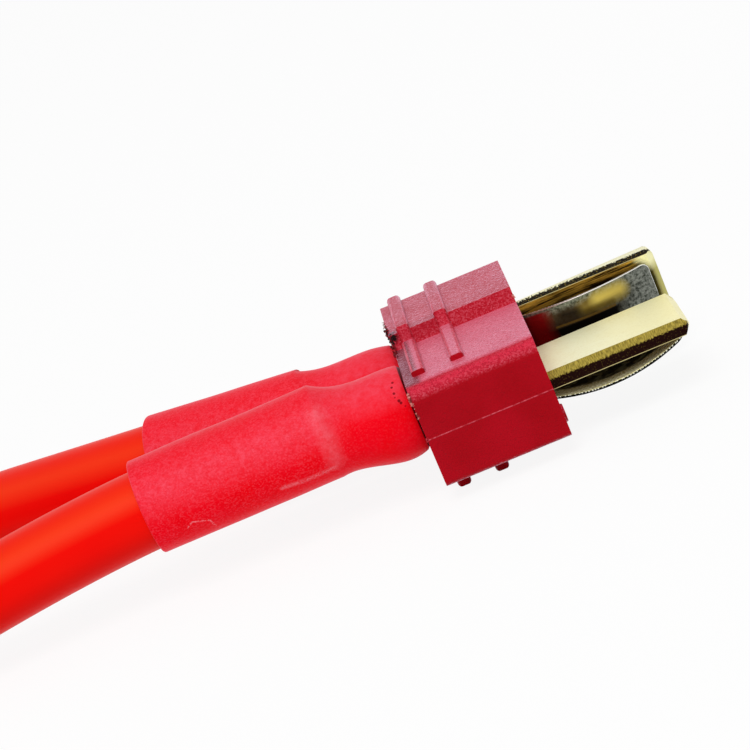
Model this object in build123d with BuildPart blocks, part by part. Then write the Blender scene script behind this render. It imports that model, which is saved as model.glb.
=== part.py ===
"""Parallel battery harness: two male T-shaped plugs joined to one T-shaped socket by four silicone leads.

Millimetres, +Z up. The origin is the middle of the first plug's mating face. Its blades point along +X, and
its width lies along Y. The harness lies on a level surface below the origin.
"""
from build123d import *
from math import pi, radians, tan
import os

# Body of a plug or socket: stepped, high beside the crossbar blade and low beside the stem blade
housing_length = 8.8
housing_width = 16.0
high_side_height = 9.2
low_side_height = 7.2
step_place = 1.1
step_run = 0.45
top_rounding = 1.2
edge_rounding = 0.45
far_edge_rounding = 0.3

# Grip ribs on the two wide faces
rib_width = 0.95
rib_height = 0.4
rib_rounding = 0.25
rib_end_margin = 2.1
lower_rib_end_margin = 2.9
rib_root = 0.3
rear_rib_setback = 1.1
rib_pitch = 2.7

# Gate mark left by the mould on the first plug's mating face
gate_mark_diameter = 1.3
gate_mark_height = 0.15
gate_mark_taper = 20
gate_mark_margin = 1.0
gate_mark_drop = 2.2

# Gold-plated blades, and the tabs behind them that the leads are soldered to
blade_width = 5.8
blade_thickness = 1.3
blade_reach = 9.8
blade_edge_bevel = 0.2
blade_tip_bevel = 0.45
blade_corner_rounding = 0.6
stem_blade_place = -3.78
crossbar_blade_place = 2.85
tab_shoulder = 1.0
tab_width = 3.2
tab_length = 4.0
tab_rounding = 0.7

# Bowed leaf springs on the blades
spring_thickness = 0.2
spring_width = 4.5
spring_root = 1.6
spring_reach = 9.15
spring_bow = 1.12
spring_corner_rounding = 0.5
spring_slot_depth = 1.8
spring_slot_clearance = 0.15

# Leads: arc_share is the part of the shorter run beside a corner that its arc takes
lead_diameter = 5.5
strand_diameter = 2.8
arc_share = 0.45

# Solder joint of a plug, from behind the body to the end of the lead's insulation
solder_gap = 0.4
solder_width = 3.0
solder_height = 2.3
solder_overlap = 0.3
lead_setback = 6.0

# Shrink sleeve of a plug: a round waist, as (share of the lead's setback, lift, radius), then a tube
sleeve_wall = 0.3
sleeve_clearance = 0.22
sleeve_shoulder = 0.1
sleeve_waist = ((0, 1.05, 2.9), (0.37, 1.0, 3.1), (0.77, 1.4, 2.93))
bend_share = 0.55

# Where a plug's leads start and where their sleeves end, as (sideways, lift, setback) from each terminal
first_stem_exit = ((0, 1.79, lead_setback), (0, 1.65, 19.0))
first_crossbar_exit = ((0.5, 1.6, 7.1), (0.7, 4.1, 18.1))
second_stem_exit = ((0, 1.5, lead_setback), (0, 1.48, 19.1))
second_crossbar_exit = ((0.5, 1.5, lead_setback), (0.5, 1.52, 19.1))

# Socket: the slots for the blades and the contact plates in them
socket_length = 12.5
socket_rib_setback = 1.3
slot_depth = 10.3
slot_side_clearance = 0.2
slot_face_clearance = 0.1
slot_spring_room = 0.95
contact_thickness = 0.8
contact_recess = 0.6

# Joints of the socket, where each terminal takes two leads, one above the other
socket_lead_setback = 6.8
socket_straight = 8.2
socket_stem_lead_place = -3.8
socket_crossbar_lead_place = 4.35
lead_pair_pitch = 5.6
lead_pair_lift = 1.25
socket_solder_height = 4.8
socket_sleeve_length = 14.0
socket_sleeve_taper = 5.5
socket_sleeve_start_height = 8.2
socket_sleeve_start_width = 6.1

# Places of the three bodies, which lie on their ribs; the second plug lies the other way up
first_plug = Plane(origin=(0, 0, 0), x_dir=(1, 0, 0), z_dir=(0, 0, 1))
second_plug = Plane(origin=(-124.0, 39.6, 0), x_dir=(-1, 0, 0), z_dir=(0, 0, -1))
socket = Plane(origin=(-128.5, 2.0, 0), x_dir=(1, 0, 0), z_dir=(0, 0, 1))
surface = Plane.XY.offset(-high_side_height / 2 - rib_height)

# Points of each lead's route from its plug's sleeve to the socket's, measured up from the surface
first_stem_points = [
    (-31.5, -3.97, 6.42), (-43.5, -4.9, 5.15), (-57.0, -6.6, 3.0), (-71.0, -7.6, 2.8), (-84.0, -6.8, 2.85),
    (-93.5, -3.4, 3.1),
]
first_crossbar_points = [
    (-31.5, 8.2, 5.67), (-43.0, 12.6, 5.3), (-56.0, 11.8, 3.0), (-68.0, 5.6, 2.8), (-80.0, 1.0, 2.85),
    (-91.5, 3.6, 3.1),
]
second_stem_points = [
    (-93.2, 35.8, 3.6), (-81.0, 35.85, 5.0), (-71.1, 28.6, 8.0), (-67.3, 17.0, 9.4), (-71.1, 5.4, 9.5),
    (-81.0, -1.85, 9.2), (-93.2, -1.75, 9.1),
]
second_crossbar_points = [
    (-93.2, 43.9, 4.4), (-81.0, 43.95, 3.1), (-71.1, 36.8, 2.8), (-67.3, 25.2, 2.8), (-71.1, 13.6, 3.9),
    (-81.0, 6.3, 6.8), (-93.2, 6.4, 8.7),
]


# Planes of a body or blade: across its axis, and upright along it
def across(frame, x):
    return Plane(origin=frame.from_local_coords((x, 0, 0)), x_dir=frame.y_dir, z_dir=frame.x_dir)


def upright(frame):
    return Plane(origin=frame.origin, x_dir=frame.x_dir, z_dir=-frame.y_dir)


# A blade's plane halves its thickness: x runs along the blade, and z points to its spring
def stem_plane(body):
    middle = body.from_local_coords((0, stem_blade_place, 0))
    return Plane(origin=middle, x_dir=body.x_dir, z_dir=-body.z_dir)


def crossbar_plane(body):
    middle = body.from_local_coords((0, crossbar_blade_place, 0))
    return Plane(origin=middle, x_dir=body.x_dir, z_dir=-body.y_dir)


# A terminal's plane lies on the back of a plug: z runs backwards, and y points away from the spring
def terminal(blade):
    middle = blade.from_local_coords((-housing_length, 0, 0))
    return Plane(origin=middle, x_dir=blade.y_dir, z_dir=-blade.x_dir)


def body_outline():
    """Section of a body across its axis."""
    half = housing_width / 2
    high = high_side_height / 2
    low = low_side_height / 2
    foot = step_place - step_run
    with BuildLine() as outline:
        Polyline((-half, -low), (foot, -low), (step_place, -high), (half, -high), (half, high),
                 (step_place, high), (foot, low), (-half, low), close=True)
    make_face(outline.edges())
    corners = vertices().group_by(Axis.X)
    fillet(corners[0].sort_by(Axis.Y)[-1], top_rounding)
    fillet(vertices().group_by(Axis.X)[0].sort_by(Axis.Y)[0], edge_rounding)
    fillet(vertices().group_by(Axis.X)[-1], far_edge_rounding)


def top_rib_outline():
    """Section of an upper rib along its length: it follows the step."""
    near_end = rib_end_margin - housing_width / 2
    far_end = housing_width / 2
    root = low_side_height / 2 - rib_root
    low = low_side_height / 2 + rib_height
    high = high_side_height / 2 + rib_height
    with BuildLine() as outline:
        Polyline((near_end, root), (near_end, low), (step_place - step_run, low), (step_place, high),
                 (far_end, high), (far_end, root), close=True)
    make_face(outline.edges())


def bottom_rib_outline():
    """Section of a lower rib along its length: its outer edge is straight."""
    near_end = lower_rib_end_margin - housing_width / 2
    far_end = housing_width / 2
    root = rib_root - low_side_height / 2
    crest = -high_side_height / 2 - rib_height
    with BuildLine() as outline:
        Polyline((near_end, root), (near_end, crest), (far_end, crest), (far_end, root), close=True)
    make_face(outline.edges())


def rib(body, middle, outline):
    """A rib with rounded edges, from its outline."""
    with BuildPart() as bar:
        with BuildSketch(across(body, middle - rib_width / 2)):
            outline()
        extrude(amount=rib_width)
        fillet(edges().filter_by(lambda edge: is_outer(body, edge)), rib_rounding)
    return bar


def is_outer(body, edge):
    """True for an edge along a rib's outline, except the one inside the body."""
    runs_across = abs(edge.tangent_at(0.5).dot(body.x_dir)) < 0.01
    height = abs(body.to_local_coords(edge.center()).Z)
    return runs_across and abs(height - low_side_height / 2 + rib_root) > 0.01


def ribs(body, middles):
    """The ribs on both wide faces, at each place along the body."""
    outlines = (top_rib_outline, bottom_rib_outline)
    return [rib(body, middle, outline) for middle in middles for outline in outlines]


def tab_outline(start, length, direction):
    """A solder tab from start, with rounded corners at its end."""
    end = start + direction * length
    with Locations(((start + end) / 2, 0)):
        Rectangle(length, tab_width)
    corners = vertices().sort_by(Axis.X)
    fillet(corners[-2:] if direction > 0 else corners[:2], tab_rounding)


def blade_root_outline():
    """Plan of the part of a blade inside the body, with its tab."""
    root_length = housing_length - tab_shoulder
    with Locations((-root_length / 2, 0)):
        Rectangle(root_length, blade_width)
    tab_outline(-root_length, tab_shoulder + tab_length, -1)


def plug_housing(body):
    """Moulded body of a plug, with the slots that the blades and springs sit in."""
    rear_rib = rear_rib_setback - housing_length
    bars = ribs(body, (rear_rib, rear_rib + rib_pitch))
    with BuildPart() as housing:
        with BuildSketch(across(body, -housing_length)):
            body_outline()
        extrude(amount=housing_length)
        for bar in bars:
            add(bar.part)
        for blade in (stem_plane(body), crossbar_plane(body)):
            with BuildSketch(blade):
                blade_root_outline()
            extrude(amount=blade_thickness / 2, both=True, mode=Mode.SUBTRACT)
            with BuildSketch(blade.offset(blade_thickness / 2)):
                with Locations((-spring_slot_depth / 2, 0)):
                    Rectangle(spring_slot_depth, spring_width + 2 * spring_slot_clearance)
            extrude(amount=spring_bow + spring_thickness + spring_slot_clearance, mode=Mode.SUBTRACT)
    return housing


def first_plug_housing(body):
    """The first plug's body, with the gate mark on its mating face."""
    plain = plug_housing(body)
    with BuildPart() as housing:
        add(plain.part)
        with BuildSketch(across(body, 0)):
            with Locations((gate_mark_margin - housing_width / 2, -gate_mark_drop)):
                Circle(gate_mark_diameter / 2)
        extrude(amount=gate_mark_height, taper=gate_mark_taper)
    return housing


def plug_blade(blade):
    """A blade with knife-shaped edges outside the body, and its flat root inside."""
    half_width = blade_width / 2
    half_thickness = blade_thickness / 2
    tip = blade_reach - blade_tip_bevel
    side = half_width - blade_edge_bevel
    with BuildPart() as contact:
        with BuildSketch(blade):
            with Locations((blade_reach / 2, 0)):
                Rectangle(blade_reach, blade_width)
            fillet(vertices().group_by(Axis.X)[-1], blade_corner_rounding)
        extrude(amount=half_thickness, both=True)
        with BuildSketch(upright(blade)):
            with BuildLine():
                Polyline((0, -half_thickness), (tip, -half_thickness), (blade_reach, 0),
                         (tip, half_thickness), (0, half_thickness), close=True)
            make_face()
        extrude(amount=half_width, both=True, mode=Mode.INTERSECT)
        with BuildSketch(across(blade, 0)):
            with BuildLine():
                Polyline((-half_width, 0), (-side, -half_thickness), (side, -half_thickness), (half_width, 0),
                         (side, half_thickness), (-side, half_thickness), close=True)
            make_face()
        extrude(amount=blade_reach, mode=Mode.INTERSECT)
        with BuildSketch(blade):
            blade_root_outline()
        extrude(amount=half_thickness, both=True)
    return contact


def leaf_spring(blade):
    """A bowed strip that touches its blade at both ends."""
    seat = blade_thickness / 2
    middle = (spring_reach - spring_root) / 2
    with BuildPart() as spring:
        with BuildSketch(upright(blade)):
            with BuildLine():
                ThreePointArc((-spring_root, seat), (middle, seat + spring_bow), (spring_reach, seat))
                offset(amount=spring_thickness, side=Side.LEFT)
            make_face()
        extrude(amount=spring_width / 2, both=True)
        with BuildSketch(blade):
            with Locations((middle, 0)):
                Rectangle(spring_reach + spring_root, spring_width)
            fillet(vertices().group_by(Axis.X)[-1], spring_corner_rounding)
        extrude(amount=seat + spring_bow + spring_thickness, mode=Mode.INTERSECT)
    return spring


def cut_tab(back):
    """Takes a plug tab's room out of the solder."""
    with BuildSketch(back) as room:
        Rectangle(tab_width, blade_thickness)
    extrude(room.sketch, amount=tab_length, mode=Mode.SUBTRACT)


def plug_solder(back, start, mouth):
    """Solder and soaked strands between a plug's tab and the end of its lead."""
    with BuildPart() as joint:
        with BuildSketch(back.offset(solder_gap)):
            with Locations((0, blade_thickness / 2 - solder_overlap + solder_height / 2)):
                Ellipse(solder_width / 2, solder_height / 2)
        with BuildSketch(Plane(origin=start, z_dir=mouth - start)):
            Circle(strand_diameter / 2)
        loft()
        cut_tab(back)
    return joint


def plug_sleeve(back, start, mouth):
    """Shrink sleeve over a plug's solder joint and the end of its lead."""
    axis = mouth - start
    offset = back.to_local_coords(start)
    shoulder = Plane(origin=start + axis.normalized() * sleeve_shoulder, z_dir=axis)
    tube_radius = lead_diameter / 2 + sleeve_clearance + sleeve_wall
    with BuildPart() as sleeve:
        for wall, mode in ((0, Mode.ADD), (sleeve_wall, Mode.SUBTRACT)):
            for share, lift, radius in sleeve_waist:
                with BuildSketch(back.offset(share * offset.Z)):
                    with Locations((share * offset.X, lift)):
                        Circle(radius - wall)
            with BuildSketch(shoulder):
                Circle(tube_radius - wall)
            loft(mode=mode)
            with BuildSketch(shoulder):
                Circle(tube_radius - wall)
            extrude(amount=axis.length - sleeve_shoulder, mode=mode)
    return sleeve


def slot_spring_side():
    return blade_thickness / 2 + slot_spring_room


def slot_contact_side():
    return blade_thickness / 2 + slot_face_clearance + contact_thickness


def contact_plane(blade):
    """Middle of the contact plate, on the side of the blade away from its spring."""
    return blade.offset(-blade_thickness / 2 - slot_face_clearance - contact_thickness / 2)


def contact_outline(start):
    """Plan of a contact plate from start to the end of its tab behind the socket."""
    shoulder = socket_length - tab_shoulder
    with Locations(((start + shoulder) / 2, 0)):
        Rectangle(shoulder - start, blade_width)
    tab_outline(shoulder, tab_shoulder + tab_length, 1)


def socket_housing(body):
    """Moulded body of the socket, with a slot for each blade and its spring."""
    rear_rib = socket_length - socket_rib_setback
    bars = ribs(body, (rear_rib, rear_rib - rib_pitch))
    with BuildPart() as housing:
        with BuildSketch(across(body, 0)):
            body_outline()
        extrude(amount=socket_length)
        for bar in bars:
            add(bar.part)
        for blade in (stem_plane(body), crossbar_plane(body)):
            with BuildSketch(across(blade, 0)):
                with Locations((0, (slot_spring_side() - slot_contact_side()) / 2)):
                    Rectangle(blade_width + 2 * slot_side_clearance, slot_spring_side() + slot_contact_side())
            extrude(amount=slot_depth, mode=Mode.SUBTRACT)
            with BuildSketch(contact_plane(blade)):
                contact_outline(slot_depth)
            extrude(amount=contact_thickness / 2, both=True, mode=Mode.SUBTRACT)
    return housing


def socket_contact(blade):
    """A flat contact plate with its solder tab."""
    with BuildPart() as contact:
        with BuildSketch(contact_plane(blade)):
            contact_outline(contact_recess)
        extrude(amount=contact_thickness / 2, both=True)
    return contact


def socket_solder(body, blade, lead_place):
    """Solder and soaked strands between a socket tab and the ends of two leads."""
    with BuildPart() as joint:
        with BuildSketch(across(body, socket_length + solder_gap)):
            with Locations((lead_place, lead_pair_lift)):
                SlotOverall(socket_solder_height, strand_diameter, rotation=90)
        with BuildSketch(across(body, socket_length + socket_lead_setback)):
            with Locations((lead_place, lead_pair_lift)):
                SlotCenterToCenter(lead_pair_pitch, strand_diameter, rotation=90)
        loft()
        with BuildSketch(contact_plane(blade)):
            contact_outline(contact_recess)
        extrude(amount=contact_thickness / 2, both=True, mode=Mode.SUBTRACT)
    return joint


def socket_sleeve(body, lead_place):
    """Shrink sleeve over a socket joint and the ends of two leads."""
    width = lead_diameter + 2 * (sleeve_clearance + sleeve_wall)
    with BuildPart() as sleeve:
        for wall, mode in ((0, Mode.ADD), (sleeve_wall, Mode.SUBTRACT)):
            with BuildSketch(across(body, socket_length)):
                with Locations((lead_place, lead_pair_lift)):
                    SlotOverall(socket_sleeve_start_height - 2 * wall, socket_sleeve_start_width - 2 * wall,
                                rotation=90)
            with BuildSketch(across(body, socket_length + socket_sleeve_taper)):
                with Locations((lead_place, lead_pair_lift)):
                    SlotCenterToCenter(lead_pair_pitch, width - 2 * wall, rotation=90)
            loft(mode=mode)
            with BuildSketch(across(body, socket_length + socket_sleeve_taper)):
                with Locations((lead_place, lead_pair_lift)):
                    SlotCenterToCenter(lead_pair_pitch, width - 2 * wall, rotation=90)
            extrude(amount=socket_sleeve_length - socket_sleeve_taper, mode=mode)
    return sleeve


def corner_radii(route):
    """The largest arc that each corner's two runs leave room for."""
    radii = []
    for before, corner, after in zip(route, route[1:], route[2:]):
        arriving = corner - before
        leaving = after - corner
        half_turn = radians(arriving.get_angle(leaving)) / 2
        radii.append(arc_share * min(arriving.length, leaving.length) / tan(half_turn))
    return radii


def lead(name, route):
    """A lead as a plain round tube along straight runs joined by tangent arcs."""
    radii = corner_radii(route)
    with BuildPart() as tube:
        with BuildLine() as path:
            FilletPolyline(*route, radius=radii)
        with BuildSketch(path.line ^ 0):
            Circle(lead_diameter / 2)
        sweep(path=path.line)
    length = path.wires()[0].length
    expected = pi * lead_diameter ** 2 / 4 * length
    print(name, "length", round(length, 1), "radii", [round(radius, 1) for radius in radii])
    print(name, "volume over section times length", round(tube.part.volume / expected, 4))
    return tube


def plug_bends(blade, exit):
    """Start of a lead at its plug, and its first bend inside the sleeve."""
    start, mouth = [terminal(blade).from_local_coords(place) for place in exit]
    return [start, start + (mouth - start) * bend_share]


def above_surface(points):
    return [surface.from_local_coords(point) for point in points]


def socket_bends(lead_place, level):
    """Last bend and end of a lead at the socket: level is -1 for a lower lead and 1 for an upper."""
    height = lead_pair_lift + level * lead_pair_pitch / 2
    end = socket_length + socket_lead_setback
    return [socket.from_local_coords((place, lead_place, height)) for place in (end + socket_straight, end)]


def plug_pieces(name, body, housing, stem_exit, crossbar_exit):
    """Every piece of a plug."""
    made = {f"{name}_housing": housing}
    sides = (("stem", stem_plane(body), stem_exit), ("crossbar", crossbar_plane(body), crossbar_exit))
    for side, blade, exit in sides:
        back = terminal(blade)
        start, mouth = [back.from_local_coords(place) for place in exit]
        made[f"{name}_{side}_blade"] = plug_blade(blade)
        made[f"{name}_{side}_spring"] = leaf_spring(blade)
        made[f"{name}_{side}_solder"] = plug_solder(back, start, mouth)
        made[f"{name}_{side}_sleeve"] = plug_sleeve(back, start, mouth)
    return made


def socket_pieces(body):
    """Every piece of the socket."""
    made = {"socket_housing": socket_housing(body)}
    sides = (("stem", stem_plane(body), socket_stem_lead_place),
             ("crossbar", crossbar_plane(body), socket_crossbar_lead_place))
    for side, blade, lead_place in sides:
        made[f"socket_{side}_contact"] = socket_contact(blade)
        made[f"socket_{side}_solder"] = socket_solder(body, blade, lead_place)
        made[f"socket_{side}_sleeve"] = socket_sleeve(body, lead_place)
    return made


routes = {
    "first_stem_lead": [
        *plug_bends(stem_plane(first_plug), first_stem_exit),
        *above_surface(first_stem_points),
        *socket_bends(socket_stem_lead_place, -1),
    ],
    "first_crossbar_lead": [
        *plug_bends(crossbar_plane(first_plug), first_crossbar_exit),
        *above_surface(first_crossbar_points),
        *socket_bends(socket_crossbar_lead_place, -1),
    ],
    "second_stem_lead": [
        *plug_bends(stem_plane(second_plug), second_stem_exit),
        *above_surface(second_stem_points),
        *socket_bends(socket_stem_lead_place, 1),
    ],
    "second_crossbar_lead": [
        *plug_bends(crossbar_plane(second_plug), second_crossbar_exit),
        *above_surface(second_crossbar_points),
        *socket_bends(socket_crossbar_lead_place, 1),
    ],
}

first_housing = first_plug_housing(first_plug)
second_housing = plug_housing(second_plug)
pieces = {
    **plug_pieces("first_plug", first_plug, first_housing, first_stem_exit, first_crossbar_exit),
    **plug_pieces("second_plug", second_plug, second_housing, second_stem_exit, second_crossbar_exit),
    **socket_pieces(socket),
    **{name: lead(name, route) for name, route in routes.items()},
}

os.makedirs("parts", exist_ok=True)
for name, piece in pieces.items():
    piece.part.label = name
    export_step(piece.part, f"parts/{name}.step")
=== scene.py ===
"""Parallel battery harness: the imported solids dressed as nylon, gold, nickel, shrink tube and silicone.

Lengths are named in millimetres, and the function metres turns points into the scene's metres.
"""
from math import cos, pi, radians, sin
from random import Random

import bmesh
import bpy
from mathutils import Matrix, Vector, noise

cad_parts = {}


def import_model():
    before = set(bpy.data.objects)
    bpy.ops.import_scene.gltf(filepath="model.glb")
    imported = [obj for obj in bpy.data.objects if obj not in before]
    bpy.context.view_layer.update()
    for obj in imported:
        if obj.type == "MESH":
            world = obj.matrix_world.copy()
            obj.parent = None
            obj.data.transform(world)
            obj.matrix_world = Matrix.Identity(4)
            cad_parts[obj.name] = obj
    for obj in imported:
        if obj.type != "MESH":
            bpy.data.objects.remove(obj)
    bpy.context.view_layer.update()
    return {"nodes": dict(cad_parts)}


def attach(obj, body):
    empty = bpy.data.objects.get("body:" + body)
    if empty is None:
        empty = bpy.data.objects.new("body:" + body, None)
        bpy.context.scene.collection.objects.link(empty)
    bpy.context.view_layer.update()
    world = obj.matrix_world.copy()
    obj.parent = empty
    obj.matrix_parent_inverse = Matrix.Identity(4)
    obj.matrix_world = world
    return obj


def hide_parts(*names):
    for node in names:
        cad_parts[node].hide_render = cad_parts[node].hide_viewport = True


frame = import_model()

MM = 0.001

# Camera, as the photograph was taken: aimed at a point of the plug, from a distance, and rolled
camera_target = (-10.583, 0.0, 2.828)
camera_distance = 198.987
camera_azimuth = 2.414
camera_elevation = 18.107
camera_roll = -23.201
camera_lens = 142.70
camera_near = 10.0
camera_far = 20000.0

# Surface that the harness lies on
surface_height = -5.0
floor_size = 6000.0
floor_white = 0.94
floor_glow = 0.9

# Light: a pale world and one soft lamp above the camera's side
world_light = 0.5
lamp_size = 340.0
lamp_place = (-60.0, -430.0, 620.0)
lamp_power = 3.0

# Sizes of the plugs, the same as their solids
housing_length = 8.8
blade_half_thickness = 0.65
blade_half_width = 2.9
stem_place = -3.78
crossbar_place = 2.85
spring_half_width = 2.25
spring_thickness = 0.2
spring_stretch = 1.1
second_plug_place = (-124.0, 39.6, 0.0)

# How far the edges of each kind of piece are rounded
first_housing_rounding = 0.07
housing_rounding = 0.09
contact_rounding = 0.05
solder_rounding = 0.05
sleeve_rounding = 0.08
blade_rounding = 0.04
spring_rounding = 0.03

# Edges of the punched blades: part of the edge is burnished, and the rest is torn
burnished_until = {"stem": -0.13, "crossbar": 0.18}
torn_overlap = 0.06
edge_lift = 0.2
edge_zone = 0.25

# Shrink sleeves of the plugs: waist as (share of the lead's setback, lift, radius), then a tube
sleeve_waist = ((0, 1.05, 2.9), (0.37, 1.0, 3.1), (0.77, 1.4, 2.93))
sleeve_radius = 3.27
sleeve_wall = 0.3
sleeve_shoulder = 0.1
sleeve_turn_in = 0.2
sleeve_sides = 72
sleeve_neck_rings = 24
sleeve_tube_rings = 32
sleeve_rim_steps = 6
sleeve_unevenness = 0.05

# Where each plug's lead starts and its sleeve ends, as (sideways, lift, setback) from its blade's back
exits = {
    "first_plug_stem": ((0, 1.79, 6.0), (0, 1.65, 19.0)),
    "first_plug_crossbar": ((0.5, 1.6, 7.1), (0.7, 4.1, 18.1)),
    "second_plug_stem": ((0, 1.5, 6.0), (0, 1.48, 19.1)),
    "second_plug_crossbar": ((0.5, 1.5, 6.0), (0.5, 1.52, 19.1)),
}

# Each lead's route
lead_diameter = 5.5
routes = {
    "first_stem_lead": [
        (-14.8, -3.78, 1.79), (-21.95, -3.78, 1.713), (-31.5, -3.97, 1.42), (-43.5, -4.9, 0.15),
        (-57.0, -6.6, -2.0), (-71.0, -7.6, -2.2), (-84.0, -6.8, -2.15), (-93.5, -3.4, -1.9),
        (-101.0, -1.8, -1.55), (-109.2, -1.8, -1.55),
    ],
    "first_crossbar_lead": [
        (-15.9, 4.45, 0.5), (-21.95, 5.825, 0.61), (-31.5, 8.2, 0.67), (-43.0, 12.6, 0.3),
        (-56.0, 11.8, -2.0), (-68.0, 5.6, -2.2), (-80.0, 1.0, -2.15), (-91.5, 3.6, -1.9),
        (-101.0, 6.35, -1.55), (-109.2, 6.35, -1.55),
    ],
    "second_stem_lead": [
        (-109.2, 35.82, -1.5), (-102.0, 35.82, -1.489), (-93.2, 35.8, -1.4), (-81.0, 35.85, 0.0),
        (-71.1, 28.6, 3.0), (-67.3, 17.0, 4.4), (-71.1, 5.4, 4.5), (-81.0, -1.85, 4.2),
        (-93.2, -1.75, 4.1), (-101.0, -1.8, 4.05), (-109.2, -1.8, 4.05),
    ],
    "second_crossbar_lead": [
        (-109.2, 43.95, -0.5), (-102.0, 43.961, -0.5), (-93.2, 43.9, -0.6), (-81.0, 43.95, -1.9),
        (-71.1, 36.8, -2.2), (-67.3, 25.2, -2.2), (-71.1, 13.6, -1.1), (-81.0, 6.3, 1.8),
        (-93.2, 6.4, 3.7), (-101.0, 6.35, 4.05), (-109.2, 6.35, 4.05),
    ],
}

# Where each lead leaves a sleeve, its real length, and what it goes to
lead_facts = {
    "first_stem_lead": ((-27.8, -3.78, 1.65), 95.5, "connector", "stem"),
    "first_crossbar_lead": ((-26.9, 6.95, 0.7), 97.1, "connector", "crossbar"),
    "second_stem_lead": ((-102.0, -1.8, 4.05), 104.0, "plug", "stem"),
    "second_crossbar_lead": ((-102.0, 6.35, 4.05), 104.1, "plug", "crossbar"),
}

# Nylon: heights between which the low side's top ends, and setbacks between which the ribs end
low_top_ends = (4.3, 4.1)
ribs_end = (-7.6, -7.9)
slope_shade = ((-8.4, 1.5, 4.2), (-5.6, 1.5, 4.2), 1.0)
nylon_speck = 0.08

# Shrink tube: setbacks where its neck ends, where its specks start, and where the housing begins, across
# which shade is painted in the gap
neck_end = (-13.0, -15.2)
specks_start = (-12.0, -15.5)
gap_shade_setbacks = (-8.98, -8.92)
tube_speck = 0.09

# Gold plating: where the blade grows yellower
tip_yellows = (3.0, 9.5)
gold_speck = 0.1

# Cut edges of the springs: how close their painted highlight dots lie
highlight_dots_per_millimetre = 4.4

# Shapes of wear: grains strewn along an edge, and the seam that the mould leaves
crumb_roughness = 0.7
seam_width = 0.08
seam_steps = 60
seam_outline = ((-1, 0), (-0.5, 0.7), (0, 1), (0.5, 0.7), (1, 0))

# Marks of use on the first plug: places, and how far each reaches
burns = [
    ((-8.75, 2.3, 4.6), 0.3), ((-8.6, 1.5, 4.6), 0.45), ((-8.5, 1.0, 4.4), 0.42),
    ((-8.65, 0.9, 4.15), 0.32),
]
sleeve_dots = [
    ((-9.52, -5.33, 3.61), 0.105), ((-9.68, -5.62, 3.41), 0.1125), ((-9.68, -5.97, 3.09), 0.1275),
    ((-9.72, -6.16, 2.87), 0.09), ((-9.55, -6.32, 2.63), 0.1425), ((-9.48, -6.41, 2.48), 0.1275),
    ((-9.3, -6.5, 2.2), 0.09),
]

# Marks of use that run along a line of points
sleeve_crease = [
    (-14.85, -6.13, 4.06), (-14.74, -6.84, 2.93), (-14.79, -7.05, 1.83), (-14.83, -6.77, 0.47),
]
sleeve_streak = [(-18.72, -6.7, 0.27), (-17.38, -6.65, 0.12), (-15.09, -6.65, 0.14)]
sleeve_scratch = [(-25.5, -6.75, 0.2), (-25.05, -6.85, 0.54), (-23.94, -6.7, 0.13), (-23.8, -6.2, -0.55)]
char_edge = [(-8.84, 2.8, 4.56), (-8.8, 1.9, 4.6), (-8.72, 1.2, 4.5), (-8.74, 0.9, 4.15)]
crumbly_edge = [
    (-8.82, 4.6, 4.55), (-8.86, 2.8, 4.56), (-8.8, 1.6, 4.58), (-8.76, 0.8, 3.95), (-8.76, 0.3, 3.6),
    (-8.78, -0.8, 3.58),
]
nicked_edge = [(-8.82, -7.95, 3.4), (-8.8, -7.98, 2.8), (-8.75, -8.0, 2.3), (-8.75, -8.0, 1.5)]
burrs = [(-0.02, 0.9, 4.05), (-0.02, 0.82, 3.9), (-0.02, 0.75, 3.75)]
seam_end = [(-8.78, -8.0, 0.1), (-8.78, -8.02, -0.25)]
parting_line = ((-8.75, -8.0, -0.05), (-0.02, -8.0, -0.05))


def metres(point):
    return Vector(point) * MM


def linear(red, green, blue):
    """A colour given as screen values from 0 to 255, as the renderer's linear values."""
    values = []
    for value in (red, green, blue):
        share = value / 255
        values.append(share / 12.92 if share <= 0.04045 else ((share + 0.055) / 1.055) ** 2.4)
    return values


# Colours of the nylon, with its painted sheen, highlight, sparkle and shade, and of where it has melted
# or crumbled
nylon_red = linear(164, 6, 20)
nylon_patch = linear(178, 10, 28)
nylon_painted_sheen = linear(230, 50, 78)
nylon_painted_low_top_light = linear(248, 128, 156)
nylon_behind_ribs = linear(110, 4, 16)
nylon_painted_sparkle = linear(244, 130, 150)
nylon_dark_speck = linear(140, 8, 24)
nylon_painted_slope_shade = linear(150, 10, 32)
nylon_charred = linear(26, 6, 8)
nylon_sheen = (0.95, 0.8, 0.98)
seam_colours = (linear(204, 76, 92), linear(168, 16, 34))
pale_crumb_colours = (linear(226, 140, 132), linear(140, 40, 40))
dark_crumb_colours = (linear(156, 16, 28), linear(70, 8, 14))
char_colours = (linear(18, 6, 6), linear(60, 14, 16))

# Colours of the shrink tube, with dust and painted sheen on top, a painted highlight on a crease and
# painted shade in the gap at the housing
tube_red = linear(241, 0, 18)
tube_patch = linear(243, 4, 30)
tube_dust_and_sheen = linear(250, 112, 138)
tube_light_speck = linear(250, 120, 140)
tube_dark_speck = linear(212, 0, 14)
tube_streak_and_crease_highlight = linear(250, 150, 164)
tube_scratched = linear(252, 160, 172)
tube_dot = linear(110, 4, 12)
tube_painted_gap_shade = linear(30, 4, 6)
tube_sheen = (1, 0.84, 0.96)

# Colours of the silicone, with its painted highlight on top and painted shade underneath
silicone_red = linear(240, 3, 4)
silicone_patch = linear(242, 9, 5)
silicone_painted_highlight = linear(250, 84, 38)
silicone_painted_shade = linear(206, 10, 8)
silicone_tint = (1.0, 0.75, 0.4)
silicone_sheen = (1, 0.6, 0.45)
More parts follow.
